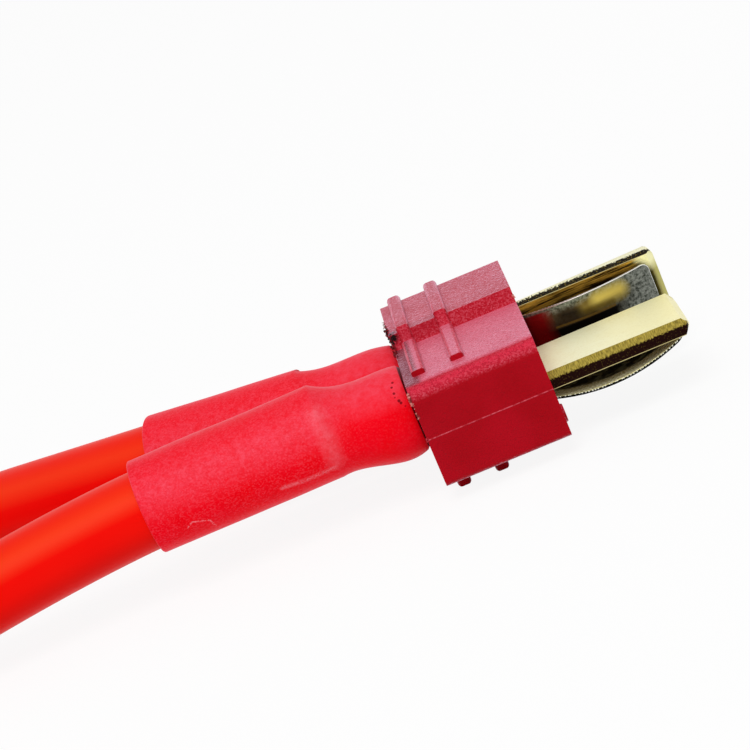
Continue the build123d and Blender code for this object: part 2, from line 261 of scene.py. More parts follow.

# Colours of the blades: their plating, the painted reflection, shadow and highlight on the face under the
# spring, and the punched edges, whose torn part is painted with a dark reflection
gold_light = linear(255, 254, 216)
gold_patch = linear(252, 249, 204)
gold_tip = linear(250, 236, 160)
gold_dark_speck = linear(216, 200, 120)
painted_reflection_brown = linear(34, 18, 6)
painted_reflection_gold = linear(214, 164, 62)
painted_reflection_olive = linear(112, 104, 44)
painted_shadow_beside_tip = linear(44, 42, 14)
painted_reflection_tip = linear(190, 184, 104)
painted_corner_highlight = linear(250, 246, 190)
stem_burnished, stem_torn_dark_reflection = linear(190, 168, 76), linear(30, 10, 8)
crossbar_burnished, crossbar_torn_dark_reflection = linear(254, 250, 208), linear(20, 14, 4)
torn_fleck = linear(176, 150, 60)
edge_lip = linear(214, 200, 140)

# Colours of the springs: nickel with painted reflections, shade and glint, a strip with painted light on
# its rims and painted shade between them, and a cut edge's root, tip, rim and painted highlight dots
nickel_light = linear(134, 137, 128)
nickel_dark = linear(56, 60, 52)
nickel_brown = linear(70, 52, 30)
nickel_shade = linear(12, 8, 6)
nickel_glint = linear(150, 116, 50)
nickel_painted_red_reflection = linear(138, 6, 14)
painted_lit_rim_dark, painted_lit_rim_light = linear(196, 190, 128), linear(255, 254, 226)
painted_shade_dark, painted_shade_patch = linear(26, 26, 18), linear(120, 124, 98)
dark_edge_colours = (
    linear(14, 12, 8), linear(18, 16, 10), linear(170, 164, 118), linear(250, 250, 236),
)
bright_edge_colours = (
    linear(104, 70, 62), linear(240, 240, 236), linear(150, 150, 140), linear(250, 250, 250),
)

# Painted reflections on a nickel strip: a line's start and end along and across it, reach, core, strength
# and colour
nickel_painted_reflections = [
    ((4.1, 1.3), (6.4, 1.4), 0.8, 0.0, 0.6, linear(160, 136, 60)),
    ((5.2, 1.45), (6.75, 1.42), 0.85, 0.1, 1.0, linear(214, 192, 100)),
    ((4.2, 1.05), (6.0, 0.95), 0.34, 0.2, 0.7, linear(116, 94, 32)),
    ((2.6, 1.4), (3.5, 1.3), 0.6, 0.0, 0.85, linear(20, 12, 8)),
]

# Colours of the solder
tin_light = linear(186, 186, 188)
tin_dark = linear(140, 140, 142)


# Frames, in millimetres: a body's, a blade's, whose z points to its spring, and the one behind a blade
def frame_of(origin, x_axis, z_axis):
    x_axis, z_axis = Vector(x_axis), Vector(z_axis)
    turn = Matrix((x_axis, z_axis.cross(x_axis), z_axis)).transposed().to_4x4()
    return Matrix.Translation(Vector(origin)) @ turn


def body_frame(body):
    if body == "first_plug":
        return frame_of((0, 0, 0), (1, 0, 0), (0, 0, 1))
    return frame_of(second_plug_place, (-1, 0, 0), (0, 0, -1))


def blade_frame(body, side):
    if side == "stem":
        return body_frame(body) @ frame_of((0, stem_place, 0), (1, 0, 0), (0, 0, -1))
    return body_frame(body) @ frame_of((0, crossbar_place, 0), (1, 0, 0), (0, -1, 0))


def terminal_frame(body, side):
    return blade_frame(body, side) @ frame_of((-housing_length, 0, 0), (0, 1, 0), (-1, 0, 0))


# Building blocks of the materials
def new_material(name, roughness, metallic=0.0, specular=0.5):
    made = bpy.data.materials.new(name)
    made.use_nodes = True
    shader = made.node_tree.nodes["Principled BSDF"]
    shader.inputs["Roughness"].default_value = roughness
    shader.inputs["Metallic"].default_value = metallic
    shader.inputs["Specular IOR Level"].default_value = specular
    return made, shader


def place(made, stretch=(1, 1, 1)):
    """The point on the surface, in millimetres, stretched along each axis."""
    source = made.node_tree.nodes.new("ShaderNodeTexCoord")
    scaled = made.node_tree.nodes.new("ShaderNodeVectorMath")
    scaled.operation = "MULTIPLY"
    scaled.inputs[1].default_value = [value / MM for value in stretch]
    made.node_tree.links.new(source.outputs["Object"], scaled.inputs[0])
    return scaled.outputs[0]


def laid_out(made, stretch=(1, 1, 1)):
    """The point on a blade or spring: along it, and across its width or thickness, in millimetres."""
    source = made.node_tree.nodes.new("ShaderNodeUVMap")
    source.uv_map = "along"
    scaled = made.node_tree.nodes.new("ShaderNodeVectorMath")
    scaled.operation = "MULTIPLY"
    scaled.inputs[1].default_value = stretch
    made.node_tree.links.new(source.outputs["UV"], scaled.inputs[0])
    return scaled.outputs[0]


def grain(made, size, detail=2.0, point=None, roughness=0.5):
    """Noise from 0 to 1 whose features are about size millimetres across."""
    node = made.node_tree.nodes.new("ShaderNodeTexNoise")
    node.inputs["Scale"].default_value = 1 / size
    node.inputs["Detail"].default_value = detail
    node.inputs["Roughness"].default_value = roughness
    made.node_tree.links.new(point or place(made), node.inputs["Vector"])
    return node.outputs["Fac"]


def specks(made, size):
    """Random values from 0 to 1, each in a speck about size millimetres across."""
    node = made.node_tree.nodes.new("ShaderNodeTexVoronoi")
    node.inputs["Scale"].default_value = 1 / size
    made.node_tree.links.new(place(made), node.inputs["Vector"])
    return part_of(made, node.outputs["Color"], 0)


def spread(made, value, low, high, start=0.0, end=1.0):
    """Maps value from low..high onto start..end, and keeps it there."""
    node = made.node_tree.nodes.new("ShaderNodeMapRange")
    node.inputs["From Min"].default_value = low
    node.inputs["From Max"].default_value = high
    node.inputs["To Min"].default_value = start
    node.inputs["To Max"].default_value = end
    made.node_tree.links.new(value, node.inputs["Value"])
    return node.outputs["Result"]


def combine(made, operation, first, second):
    node = made.node_tree.nodes.new("ShaderNodeMath")
    node.operation = operation
    made.node_tree.links.new(first, node.inputs[0])
    if isinstance(second, (int, float)):
        node.inputs[1].default_value = second
    else:
        made.node_tree.links.new(second, node.inputs[1])
    return node.outputs[0]


def both(made, first, second):
    """The product of two shares: where both are 1."""
    return combine(made, "MULTIPLY", first, second)


def largest(made, values):
    most = values[0]
    for value in values[1:]:
        most = combine(made, "MAXIMUM", most, value)
    return most


def part_of(made, point, index):
    node = made.node_tree.nodes.new("ShaderNodeSeparateXYZ")
    made.node_tree.links.new(point, node.inputs[0])
    return node.outputs[index]


def mixed(made, share, first, second):
    """A colour between two, either of which may be a socket."""
    node = made.node_tree.nodes.new("ShaderNodeMix")
    node.data_type = "RGBA"
    made.node_tree.links.new(share, node.inputs["Factor"])
    for socket, colour in ((node.inputs[6], first), (node.inputs[7], second)):
        if isinstance(colour, bpy.types.NodeSocket):
            made.node_tree.links.new(colour, socket)
        else:
            socket.default_value = (*colour, 1)
    return node.outputs[2]


def relief(made, *layers):
    """A bumpy normal: each layer is a height from 0 to 1 and its depth in millimetres."""
    before = None
    for height, depth in layers:
        node = made.node_tree.nodes.new("ShaderNodeBump")
        node.inputs["Distance"].default_value = depth * MM
        made.node_tree.links.new(height, node.inputs["Height"])
        if before is not None:
            made.node_tree.links.new(before, node.inputs["Normal"])
        before = node.outputs["Normal"]
    return before


def upward(made):
    """Which way the surface faces: 1 up, 0 to a side and -1 down."""
    source = made.node_tree.nodes.new("ShaderNodeTexCoord")
    return part_of(made, source.outputs["Normal"], 2)


def near(made, centre, reach, core=0.4):
    """1 within core times reach of a point, falling to 0 at reach millimetres from it."""
    node = made.node_tree.nodes.new("ShaderNodeVectorMath")
    node.operation = "DISTANCE"
    made.node_tree.links.new(place(made), node.inputs[0])
    node.inputs[1].default_value = centre
    return spread(made, node.outputs["Value"], reach * core, reach, 1.0, 0.0)


def near_line(made, start, end, reach, point=None, core=0.2):
    """1 within core times reach of the line between two points, falling to 0 at reach."""
    links = made.node_tree.links

    def vector_math(operation, first, second):
        node = made.node_tree.nodes.new("ShaderNodeVectorMath")
        node.operation = operation
        for socket, value in ((node.inputs[0], first), (node.inputs[1], second)):
            if isinstance(value, bpy.types.NodeSocket):
                links.new(value, socket)
            else:
                socket.default_value = value
        return node

    run = Vector(end) - Vector(start)
    offset = vector_math("SUBTRACT", point or place(made), start).outputs[0]
    share = vector_math("DOT_PRODUCT", offset, run / run.length_squared).outputs["Value"]
    kept = spread(made, share, 0.0, 1.0)
    nearest = made.node_tree.nodes.new("ShaderNodeVectorMath")
    nearest.operation = "SCALE"
    nearest.inputs[0].default_value = run
    links.new(kept, nearest.inputs["Scale"])
    distance = vector_math("DISTANCE", offset, nearest.outputs[0]).outputs["Value"]
    return spread(made, distance, reach * core, reach, 1.0, 0.0)


def near_path(made, points, reach, core=0.2):
    """1 on the line through the points, falling to 0 at reach millimetres from it."""
    ends = zip(points, points[1:])
    return largest(made, [near_line(made, start, end, reach, core=core) for start, end in ends])


def band(made, value, from_low, from_high, to_low, to_high, after=0.0):
    """0 below from_low, 1 from from_high to to_low, and after beyond to_high."""
    rise = spread(made, value, from_low, from_high)
    return both(made, rise, spread(made, value, to_low, to_high, 1.0, after))


def painted(made, share, strength, colour, paint):
    """A colour with paint over it where share is 1, as strong as strength."""
    return mixed(made, both(made, share, strength), colour, paint)


def joined(made, shader, colour, normal):
    """Gives the shader its colour and its bumps."""
    made.node_tree.links.new(colour, shader.inputs["Base Color"])
    made.node_tree.links.new(normal, shader.inputs["Normal"])
    return made


def mixed_shader(tree, share, first, second):
    mix = tree.nodes.new("ShaderNodeMixShader")
    for socket, value in zip(mix.inputs, (share, first, second)):
        tree.links.new(value, socket)
    return mix.outputs[0]


def finish(made, shader, colour, normal, tint, worn=None, *, sheen, sheen_power, sheen_roughness):
    """Colour and bumps under a gloss that grows towards grazing views, as much as worn leaves of it."""
    joined(made, shader, colour, normal)
    tree = made.node_tree
    facing = tree.nodes.new("ShaderNodeLayerWeight")
    facing.inputs["Blend"].default_value = 0.5
    tree.links.new(normal, facing.inputs["Normal"])
    share = both(made, combine(made, "POWER", facing.outputs["Facing"], sheen_power), sheen)
    if worn is not None:
        share = both(made, share, worn)
    gloss = tree.nodes.new("ShaderNodeBsdfGlossy")
    gloss.inputs["Color"].default_value = (*tint, 1)
    gloss.inputs["Roughness"].default_value = sheen_roughness
    tree.links.new(normal, gloss.inputs["Normal"])
    seen = mixed_shader(tree, share, shader.outputs[0], gloss.outputs[0])
    tree.links.new(seen, tree.nodes["Material Output"].inputs["Surface"])
    return made


# Materials
def nylon(name, burnt=()):
    """Dark crimson moulded nylon, with a painted sheen where it faces up, a painted highlight on a plug's
    low top and painted sparkle highlights where it rounds over.

    With points that are burnt, it is charred there, darker on its low top behind the ribs, and painted
    with shade on the slope.
    """
    made, shader = new_material(name, 0.5, specular=0.04)
    up, point = upward(made), place(made)
    colour = mixed(made, spread(made, grain(made, 3.5, 3), 0.3, 0.7), nylon_red, nylon_patch)
    # Painted sheen where the nylon faces up
    painted_sheen = band(made, up, 0.25, 0.75, 0.8, 0.97, 0.3)
    colour = painted(made, painted_sheen, 0.7, colour, nylon_painted_sheen)
    # Painted highlight on the low top of a plug
    below_high_side = spread(made, part_of(made, point, 2), *low_top_ends)
    low_top = both(made, below_high_side, spread(made, up, 0.92, 0.98))
    colour = painted(made, low_top, 0.5, colour, nylon_painted_low_top_light)
    if burnt:
        behind_ribs = both(made, low_top, spread(made, part_of(made, point, 0), *ribs_end))
        colour = painted(made, behind_ribs, 0.9, colour, nylon_behind_ribs)
    fine = specks(made, nylon_speck)
    # The light specks here are painted sparkle highlights where the nylon rounds over towards the top
    light_speck = both(made, spread(made, fine, 0.4, 1.0), band(made, up, 0.2, 0.42, 0.5, 0.75, 0.35))
    colour = painted(made, light_speck, 0.28, colour, nylon_painted_sparkle)
    dark_speck = both(made, spread(made, fine, 0.5, 0.0), spread(made, painted_sheen, 0.0, 1.0, 0.3, 1.0))
    colour = painted(made, dark_speck, 0.55, colour, nylon_dark_speck)
    if burnt:
        colour = char_and_painted_shade(made, colour, burnt)
    normal = relief(made, (grain(made, 0.13, 2), 0.07), (grain(made, 1.6, 2), 0.03))
    patchy = spread(made, grain(made, 3.0, 3), 0.35, 0.65, 0.85, 1.12)
    worn = both(made, spread(made, fine, 0.0, 1.0, 0.5, 1.5), patchy)
    return finish(made, shader, colour, normal, nylon_sheen, worn,
                  sheen=0.66, sheen_power=4.2, sheen_roughness=0.42)


def char_and_painted_shade(made, colour, burnt):
    """Painted shade on the slope, and char near the given points."""
    # Painted shade on the slope beside the ribs
    colour = painted(made, near_line(made, *slope_shade), 0.6, colour, nylon_painted_slope_shade)
    charred = largest(made, [near(made, centre, reach) for centre, reach in burnt])
    broken = spread(made, grain(made, 0.16, 3), 0.34, 0.46)
    return mixed(made, both(made, charred, broken), colour, nylon_charred)


def rough_plastic(name, light, dark):
    """Nylon that has melted, charred or crumbled, from light to dark in fine grains."""
    made, shader = new_material(name, 0.6, specular=0.2)
    fine = grain(made, 0.18, 3)
    colour = mixed(made, spread(made, fine, 0.4, 0.6), light, dark)
    return joined(made, shader, colour, relief(made, (fine, 0.05)))


def shrink_tube(name, marked=False):
    """Matt bright red shrink tube, speckled, with dust and a painted sheen on top, and marks of use where
    marked.
    """
    made, shader = new_material(name, 0.6, specular=0.03)
    up, along = upward(made), part_of(made, place(made), 0)
    colour = mixed(made, spread(made, grain(made, 2.4, 3), 0.32, 0.7), tube_red, tube_patch)
    # Dust and painted sheen where the tube and its neck face up
    on_tube = both(made, band(made, up, -0.15, 0.5, 0.62, 0.95, 0.4), spread(made, along, *neck_end))
    on_neck = both(made, spread(made, up, 0.35, 0.8), spread(made, along, *reversed(neck_end)))
    cloudy = spread(made, grain(made, 0.5, 5, roughness=0.75), 0.38, 0.62, 0.45, 1.0)
    dust_and_sheen = both(made, combine(made, "ADD", on_tube, on_neck), cloudy)
    colour = painted(made, dust_and_sheen, 0.33, colour, tube_dust_and_sheen)
    fine, speckled = specks(made, tube_speck), spread(made, along, *specks_start, 0.3, 1.0)
    light_speck = both(made, spread(made, fine, 0.5, 1.0), speckled)
    colour = painted(made, light_speck, 0.14, colour, tube_light_speck)
    dark_speck = both(made, spread(made, fine, 0.5, 0.0), speckled)
    colour = painted(made, dark_speck, 0.25, colour, tube_dark_speck)
    if marked:
        colour = sleeve_marks(made, colour)
    normal = relief(made, (grain(made, 0.13, 2), 0.02), (grain(made, 1.3, 2), 0.05))
    return finish(made, shader, colour, normal, tube_sheen,
                  sheen=0.22, sheen_power=4.0, sheen_roughness=0.45)


def sleeve_marks(made, colour):
    """A painted highlight along a crease, a streak, a scratch and dark dots on a sleeve, and painted
    shade in the gap beside the housing.
    """
    # Painted highlight along the crease
    uneven = spread(made, grain(made, 0.5, 4), 0.3, 0.7, 0.3, 1.0)
    crease = both(made, near_path(made, sleeve_crease, 0.9, 0.0), uneven)
    colour = painted(made, crease, 0.26, colour, tube_streak_and_crease_highlight)
    broken = spread(made, grain(made, 0.1, 2), 0.35, 0.6)
    streak = both(made, near_path(made, sleeve_streak, 0.28, 0.0), broken)
    colour = painted(made, streak, 0.55, colour, tube_streak_and_crease_highlight)
    worn_through = spread(made, grain(made, 0.14, 2), 0.42, 0.58)
    scratch = both(made, near_path(made, sleeve_scratch, 0.09), worn_through)
    colour = painted(made, scratch, 0.6, colour, tube_scratched)
    dots = largest(made, [near(made, centre, reach) for centre, reach in sleeve_dots])
    colour = painted(made, spread(made, dots, 0.1, 0.6), 0.85, colour, tube_dot)
    # Painted shade in the gap where the sleeve meets the housing
    gap = spread(made, part_of(made, place(made), 0), *gap_shade_setbacks)
    return painted(made, gap, 0.94, colour, tube_painted_gap_shade)


def silicone(name):
    """Smooth orange-red silicone rubber, with a painted orange highlight where it faces up and painted
    shade underneath.
    """
    made, shader = new_material(name, 0.4, specular=0.08)
    shader.inputs["Specular Tint"].default_value = (*silicone_tint, 1)
    up = upward(made)
    colour = mixed(made, spread(made, grain(made, 6.0, 2), 0.3, 0.7), silicone_red, silicone_patch)
    # Painted highlight on top and painted shade underneath
    colour = painted(made, band(made, up, 0.3, 0.7, 0.76, 0.95, 0.4), 0.38, colour, silicone_painted_highlight)
    colour = painted(made, spread(made, up, -0.05, -0.5), 0.4, colour, silicone_painted_shade)
    normal = relief(made, (grain(made, 0.16, 2), 0.006), (grain(made, 5.0, 2), 0.05))
    return finish(made, shader, colour, normal, silicone_sheen,
                  sheen=0.06, sheen_power=5.0, sheen_roughness=0.35)


def plating(name):
    """Bright gold plating, yellower towards the tip, with fine specks and faint scratches along it."""
    made, shader = new_material(name, 0.42, metallic=0.5)
    colour = mixed(made, spread(made, grain(made, 1.3, 4), 0.3, 0.72), gold_light, gold_patch)
    towards_tip = spread(made, part_of(made, place(made), 0), *tip_yellows)
    colour = painted(made, towards_tip, 0.5, colour, gold_tip)
    speck = spread(made, specks(made, gold_speck), 0.6, 1.0)
    colour = painted(made, speck, 0.16, colour, gold_dark_speck)
    scratches = grain(made, 0.06, 2, place(made, (0.06, 1, 1)))
    return joined(made, shader, colour, relief(made, (scratches, 0.0008)))


def under_spring_reflection(name):
    """The face of a blade under its spring: a painted dark reflection in brown and gold streaks, olive
    towards the tip, a painted shadow beside the spring's tip, paler at the tip, and a painted highlight
    at a corner.
    """
    made, shader = new_material(name, 0.35, metallic=0.8, specular=0.1)
    point = laid_out(made)
    along, across = part_of(made, point, 0), part_of(made, point, 1)
    streaks = spread(made, grain(made, 0.26, 5, laid_out(made, (0.07, 1, 1)), 0.65), 0.42, 0.58)
    # The brown and gold streaks are a painted dark reflection
    colour = mixed(made, streaks, painted_reflection_brown, painted_reflection_gold)
    colour = painted(made, spread(made, along, 7.8, 8.8), 0.85, colour, painted_reflection_olive)
    shadow_beside_tip = both(made, band(made, along, 8.9, 9.1, 9.25, 9.5), spread(made, across, 2.2, 1.7))
    colour = painted(made, shadow_beside_tip, 0.9, colour, painted_shadow_beside_tip)
    colour = painted(made, spread(made, along, 9.35, 9.6), 0.9, colour, painted_reflection_tip)
    corner = near_line(made, (9.1, 2.8, 0), (9.5, 2.3, 0), 0.9, point)
    colour = painted(made, corner, 1.0, colour, painted_corner_highlight)
    return joined(made, shader, colour, relief(made, (streaks, 0.004)))


def punched_edge(name, until, burnished, torn, raggedness, line_depth, fleck_share):
    """The edge of a punched blade: burnished with fine cross lines, then torn with flecks and painted
    with a dark reflection there.
    """
    made, shader = new_material(name, 0.35, metallic=0.8, specular=0.05)
    across = part_of(made, laid_out(made), 1)
    ragged = both(made, combine(made, "SUBTRACT", grain(made, 0.14, 3, laid_out(made)), 0.5), raggedness)
    beyond = spread(made, combine(made, "ADD", across, ragged), until - 0.04, until + 0.04)
    lines = grain(made, 0.05, 2, laid_out(made, (1, 0.15, 1)))
    line_colour = [value * line_depth for value in burnished]
    bright = mixed(made, spread(made, lines, 0.38, 0.62), burnished, line_colour)
    flecks = spread(made, grain(made, 0.1, 2, laid_out(made, (1, 0.7, 1))), 0.58, 0.68)
    # The torn part's dark colour is a painted dark reflection
    rough = mixed(made, both(made, flecks, fleck_share), torn, torn_fleck)
    lip = spread(made, across, blade_half_thickness - 0.06, blade_half_thickness - 0.03)
    colour = mixed(made, lip, mixed(made, beyond, bright, rough), edge_lip)
    return joined(made, shader, colour, relief(made, (lines, 0.01)))


def nickel(name):
    """Spring strip: mottled grey nickel, brown towards the root, with painted gold and dark reflections
    where it bows, painted shade towards the root, a painted glint, and a painted red reflection beside
    the housing.
    """
    made, shader = new_material(name, 0.3, metallic=0.7, specular=0.2)
    point = laid_out(made)
    along, across = part_of(made, point, 0), part_of(made, point, 1)
    cloud = spread(made, grain(made, 0.26, 4, point, roughness=0.75), 0.4, 0.6)
    colour = mixed(made, cloud, nickel_light, nickel_dark)
    brown = both(made, spread(made, along, 7.0, 4.6), spread(made, across, 2.0, 1.55))
    colour = painted(made, brown, 0.9, colour, nickel_brown)
    # Painted gold and dark reflections where the strip bows
    for start, end, reach, core, strength, paint in nickel_painted_reflections:
        mark = near_line(made, (*start, 0), (*end, 0), reach, point, core)
        colour = painted(made, mark, strength, colour, paint)
    low = both(made, spread(made, along, 6.5, 6.1), spread(made, across, 0.62, 0.5))
    colour = painted(made, low, 0.97, colour, nickel_shade)
    glint = near_line(made, (1.9, 0.72, 0), (6.1, 0.62, 0), 0.1, point, 0.5)
    colour = painted(made, glint, 0.8, colour, nickel_glint)
    # Painted red reflection of the housing
    housing_reflection = both(made, spread(made, along, 2.0, 1.2), spread(made, across, 2.15, 2.0))
    colour = painted(made, housing_reflection, 0.95, colour, nickel_painted_red_reflection)
    return joined(made, shader, colour, relief(made, (cloud, 0.003)))


def rimmed_strip(name):
    """Spring strip with painted light along its rims, mottled pale gold, and painted shade between them,
    dark with grey patches.
    """
    made, shader = new_material(name, 0.7, metallic=0.6)
    point = laid_out(made)
    across = combine(made, "ABSOLUTE", part_of(made, point, 1), 0)
    ragged = both(made, combine(made, "SUBTRACT", grain(made, 0.8, 3, point), 0.5), 0.5)
    rim_starts, rim_whole = spring_half_width - 1.35, spring_half_width - 1.05
    # Painted light on the rims, painted shade between them
    painted_lit_rim = spread(made, combine(made, "ADD", across, ragged), rim_starts, rim_whole)
    fine = spread(made, grain(made, 0.16, 3, point), 0.36, 0.64)
    patches = spread(made, grain(made, 0.9, 4, point), 0.48, 0.6)
    inner = mixed(made, patches, painted_shade_dark, painted_shade_patch)
    colour = mixed(made, painted_lit_rim, inner, mixed(made, fine, painted_lit_rim_dark, painted_lit_rim_light))
    return joined(made, shader, colour, relief(made, (fine, 0.004)))


def strip_edge(name, root, tip, rim, dots):
    """Cut edge of the spring strip, with a row of fine painted highlight dots near the side that faces
    the blade.
    """
    made, shader = new_material(name, 0.3, metallic=0.8, specular=0.05)
    point = laid_out(made)
    along, depth = part_of(made, point, 0), part_of(made, point, 1)
    cells = made.node_tree.nodes.new("ShaderNodeTexVoronoi")
    cells.voronoi_dimensions = "1D"
    cells.inputs["Scale"].default_value = highlight_dots_per_millimetre
    cells.inputs["Randomness"].default_value = 0.6
    made.node_tree.links.new(along, cells.inputs["W"])
    in_a_highlight_dot = spread(made, cells.outputs["Distance"], 0.12, 0.24, 1.0, 0.0)
    # Painted highlight dots
    highlight_dot = both(made, in_a_highlight_dot, band(made, depth, 0.04, 0.06, 0.1, 0.13))
    colour = mixed(made, spread(made, along, 2.0, 6.5), root, tip)
    colour = mixed(made, spread(made, depth, 0.04, 0.06, 1.0, 0.0), colour, rim)
    colour = mixed(made, highlight_dot, colour, dots)
    return joined(made, shader, colour, relief(made, (highlight_dot, 0.01)))


def tin(name):
    """Dull tin solder."""
    made, shader = new_material(name, 0.35, metallic=1.0)
    colour = mixed(made, spread(made, grain(made, 0.8, 3), 0.3, 0.7), tin_light, tin_dark)
    return joined(made, shader, colour, relief(made, (grain(made, 0.6, 3), 0.03)))


# Meshes
def add_piece(name, mesh, slot, *nodes):
    """Puts a mesh or curve into the scene, on the harness, in place of the named solids."""
    piece = bpy.data.objects.new(name, mesh)
    bpy.context.scene.collection.objects.link(piece)
    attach(piece, "root")
    if nodes:
        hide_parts(*nodes)
    return piece


def smooth(mesh, angle=40):
    """Shades a mesh smooth, apart from edges sharper than the angle."""
    for face in mesh.polygons:
        face.use_smooth = True
    mesh.set_sharp_from_angle(angle=radians(angle))


def clean_copy(node):
    """A copy of a solid's mesh, with its corners joined and its flat faces whole."""
    mesh = bmesh.new()
    mesh.from_mesh(frame["nodes"][node].data)
    bmesh.ops.remove_doubles(mesh, verts=mesh.verts, dist=0.0005 * MM)
    bmesh.ops.dissolve_limit(mesh, angle_limit=radians(0.6), verts=mesh.verts, edges=mesh.edges)
    return mesh


def rounded(piece, width, angle=30, segments=3):
    """Rounds every edge of a piece that is sharper than the angle."""
    bevel = piece.modifiers.new("rounded", "BEVEL")
    bevel.width = width * MM
    bevel.segments = segments
    bevel.limit_method = "ANGLE"
    bevel.angle_limit = radians(angle)
    bevel.use_clamp_overlap = True
    even = piece.modifiers.new("even", "WEIGHTED_NORMAL")
    even.keep_sharp = True


def mesh_from(name, mesh, *materials):
    made = bpy.data.meshes.new(name)
    mesh.to_mesh(made)
    mesh.free()
    for material in materials:
        made.materials.append(material)
    return made


def plain(node, slot, material, width):
    """A solid as it is seen, with its edges slightly rounded."""
    mesh = mesh_from(node + "_shown", clean_copy(node), material)
    smooth(mesh)
    rounded(add_piece(node + "_shown", mesh, slot, node), width)


def lay_out(mesh, turned, is_edge, depth_of):
    """Writes where each corner lies along and across its blade, or on an edge, across the thickness."""
    layer = mesh.loops.layers.uv.new("along")
    for face in mesh.faces:
        for loop in face.loops:
            point = turned @ (loop.vert.co / MM)
            loop[layer].uv = (point.x, depth_of(loop.vert) if is_edge(face) else point.y)


def blade(body, side, metal, edge_metal, spring_side_metal):
    """A blade whose long edges show how it was punched."""
    node = f"{body}_{side}_blade"
    turned = blade_frame(body, side).inverted()
    facing = turned.to_3x3()
    mesh = clean_copy(node)
    for vert in mesh.verts:
        point = turned @ (vert.co / MM)
        if point.x > 0.01 and abs(point.y) > blade_half_width - edge_zone:
            level = point.z / blade_half_thickness
            outward = 1 if point.y > 0 else -1
            point.y += outward * edge_lift * max(0, -level)
            point.z += burnished_until[side] * (1 - abs(level))
            vert.co = (turned.inverted() @ point) * MM

    def is_edge(face):
        middle = turned @ (face.calc_center_median() / MM)
        return middle.x > 0 and abs((facing @ face.normal).y) > 0.5

    mesh.normal_update()
    for face in mesh.faces:
        face.material_index = 1 if is_edge(face) else 2 if (facing @ face.normal).z > 0.5 else 0
    lay_out(mesh, turned, is_edge, lambda vert: (turned @ (vert.co / MM)).z)
    shown = mesh_from(node + "_shown", mesh, metal, edge_metal, spring_side_metal)
    smooth(shown, 25)
    rounded(add_piece(node + "_shown", shown, "contact", node), blade_rounding, angle=25, segments=2)


def spring(body, side, metal, edge_metal, inner_metal):
    """A leaf spring whose cut edge has a row of painted highlight dots."""
    node = f"{body}_{side}_spring"
    turned = blade_frame(body, side).inverted()
    facing = turned.to_3x3()
    mesh = clean_copy(node)
    for vert in mesh.verts:
        point = turned @ (vert.co / MM)
        point.z = blade_half_thickness + (point.z - blade_half_thickness) * spring_stretch
        vert.co = (turned.inverted() @ point) * MM
    mesh.normal_update()

    def is_edge(face):
        return abs((facing @ face.normal).y) > 0.7

    def depth_of(vert):
        inner = any((facing @ face.normal).z < -0.3 for face in vert.link_faces)
        return 0.0 if inner else spring_thickness

    for face in mesh.faces:
        face.material_index = 1 if is_edge(face) else 2 if (facing @ face.normal).z < 0 else 0
    lay_out(mesh, turned, is_edge, depth_of)
    shown = mesh_from(node + "_shown", mesh, metal, edge_metal, inner_metal)
    smooth(shown, 25)
    piece = add_piece(node + "_shown", shown, "spring", node)
    rounded(piece, spring_rounding, angle=35, segments=2)
    piece.modifiers["rounded"].material = 1


def through(values, shares, share):
    """The cubic through four values, at a share of the way."""
    total = 0
    for index, value in enumerate(values):
        weight = 1
        for other, place_of in enumerate(shares):
            if other != index:
                weight *= (share - place_of) / (shares[index] - place_of)
        total += value * weight
    return total


def sleeve_rings(start, mouth):
    """Middle, direction and outer radius of each ring of a plug's sleeve, from the body to the mouth."""
    start, mouth = Vector(start), Vector(mouth)
    axis = (mouth - start).normalized()
    shoulder = start + axis * sleeve_shoulder
    shares = [share for share, _, _ in sleeve_waist] + [shoulder.z / start.z]
    sideways = [share * start.x for share, _, _ in sleeve_waist] + [shoulder.x]
    lifts = [lift for _, lift, _ in sleeve_waist] + [shoulder.y]
    radii = [radius for _, _, radius in sleeve_waist] + [sleeve_radius]
    rings = []
    for step in range(sleeve_neck_rings):
        share = shares[-1] * step / sleeve_neck_rings
        middle = (through(sideways, shares, share), through(lifts, shares, share), share * start.z)
        rings.append((Vector(middle), Vector((0, 0, 1)), through(radii, shares, share)))
    length = (mouth - shoulder).length
    for step in range(sleeve_tube_rings + 1):
        run = length * (step / sleeve_tube_rings) ** 1.3
        rings.append((shoulder + axis * run, axis, sleeve_radius))
    return rings


def sleeve_walls(rings):
    """The rings of the outer wall, the rounded rim and the inner wall, back to the body."""
    middle, axis, radius = rings[-1]
    rim = sleeve_wall / 2
    walls = rings[:-1]
    for step in range(sleeve_rim_steps + 1):
        angle = pi * step / sleeve_rim_steps
        walls.append((middle - axis * (rim - rim * sin(angle)), axis, radius - rim + rim * cos(angle)))
    return walls + [(m, a, r - sleeve_wall) for m, a, r in reversed(rings[:-1])]


def sleeve_loop(middle, axis, radius, different):
    """The points round one ring, slightly uneven, and turned in where the sleeve meets the body."""
    first = axis.cross(Vector((0, 1, 0))).normalized()
    second = axis.cross(first)
    points = []
    for index in range(sleeve_sides):
        angle = 2 * pi * index / sleeve_sides
        outward = first * cos(angle) + second * sin(angle)
        point = middle + outward * radius
        uneven = noise.noise(point * 0.3 + Vector((different, 0, 0))) * sleeve_unevenness
        uneven *= min(1, point.z / 1.5)
        uneven -= sleeve_turn_in * max(0, 1 - point.z / sleeve_turn_in) ** 2
        points.append(point + outward * uneven)
    return points


